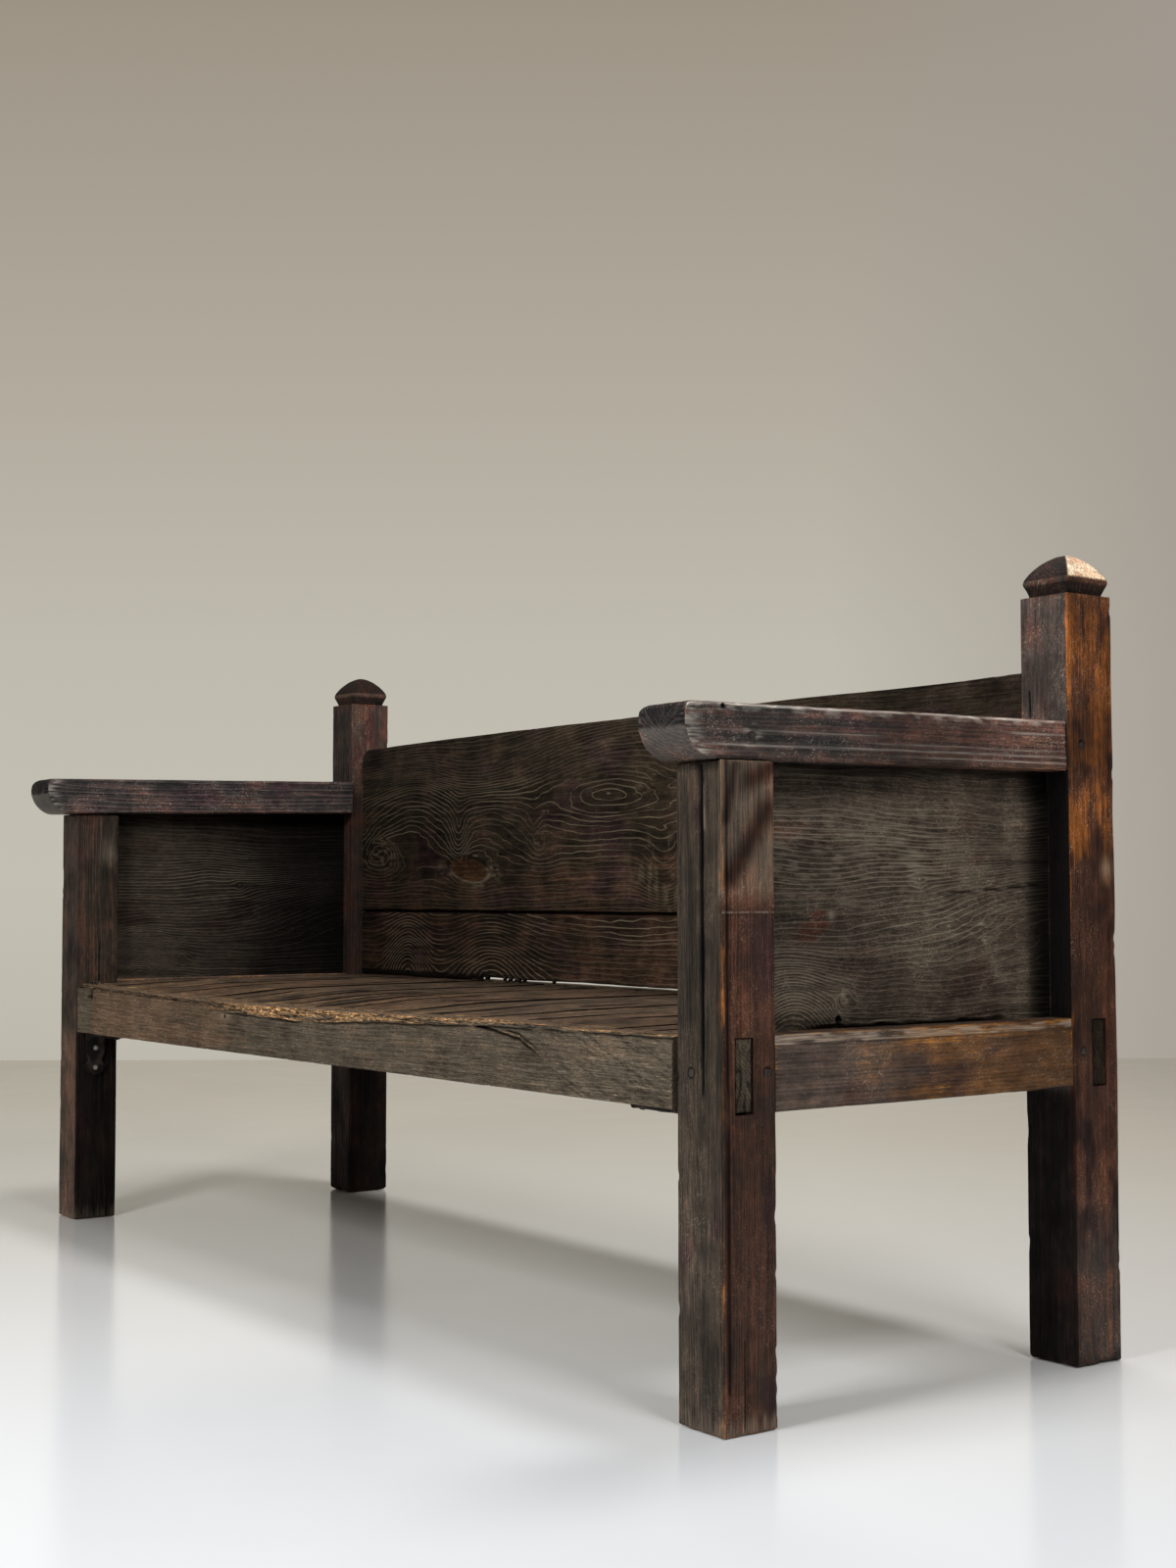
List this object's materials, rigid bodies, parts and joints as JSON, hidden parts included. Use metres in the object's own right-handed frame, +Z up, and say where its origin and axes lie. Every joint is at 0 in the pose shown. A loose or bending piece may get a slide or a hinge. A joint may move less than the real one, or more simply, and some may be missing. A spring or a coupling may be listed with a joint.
{
  "type": "monks bench",
  "caption": "Long joined bench of dark timber with panelled ends, thick arms, a boarded back between posts with domed caps, and a seat of boards laid front to back.",
  "frame": {"origin": "on the floor under the middle of the bench's bounding box", "axes": "+X along the bench to its right end seen from the front, +Y from front to back, +Z up"},
  "size_m": [2.013, 0.7434, 1.068],
  "materials": {
    "frame_wood": "old red-brown oak, waxed and worn",
    "rail_wood": "weathered grey-brown oak with a worn orange edge",
    "arm_wood": "dark waxed oak, polished by hands",
    "panel_wood": "dark olive-brown board with raised grain",
    "seat_wood": "mid-brown boards rubbed bare by sitting",
    "peg_wood": "riven oak pegs, dark end grain",
    "iron": "hand-forged wrought iron, blackened"
  },
  "bodies": {
    "root": {"front_post_left": "frame_wood", "front_post_right": "frame_wood", "rear_post_left": "frame_wood", "rear_post_right": "frame_wood", "side_rail_left": "frame_wood", "side_rail_right": "frame_wood", "front_rail": "rail_wood", "rear_rail": "rail_wood", "arm_left": "arm_wood", "arm_right": "arm_wood", "end_panel_left": "panel_wood", "end_panel_right": "panel_wood", "back_board_lower": "panel_wood", "back_board_upper": "panel_wood", "seat_board_1": "seat_wood", "seat_board_2": "seat_wood", "seat_board_3": "seat_wood", "seat_board_4": "seat_wood", "seat_board_5": "seat_wood", "seat_board_6": "seat_wood", "seat_board_7": "seat_wood", "seat_board_8": "seat_wood", "iron_angle_left": "iron", "iron_angle_right": "iron", "peg_front_rail_left": "peg_wood", "peg_front_rail_right": "peg_wood", "peg_rear_rail_left": "peg_wood", "peg_rear_rail_right": "peg_wood", "peg_side_rail_front_left": "peg_wood", "peg_side_rail_front_right": "peg_wood", "peg_side_rail_rear_left": "peg_wood", "peg_side_rail_rear_right": "peg_wood", "peg_arm_front_left": "peg_wood", "peg_arm_front_right": "peg_wood", "peg_arm_rear_left": "peg_wood", "peg_arm_rear_right": "peg_wood", "nail_iron_low_left": "iron", "nail_iron_high_left": "iron", "nail_iron_leg_left": "iron", "nail_iron_low_right": "iron", "nail_iron_high_right": "iron", "nail_iron_leg_right": "iron", "nail_seat_1_front": "iron", "nail_seat_1_rear": "iron", "nail_seat_2_front": "iron", "nail_seat_2_rear": "iron", "nail_seat_3_front": "iron", "nail_seat_3_rear": "iron", "nail_seat_4_front": "iron", "nail_seat_4_rear": "iron", "nail_seat_5_front": "iron", "nail_seat_5_rear": "iron", "nail_seat_6_front": "iron", "nail_seat_6_rear": "iron", "nail_seat_7_front": "iron", "nail_seat_7_rear": "iron", "nail_seat_8_front": "iron", "nail_seat_8_rear": "iron"}
  },
  "joints": []
}
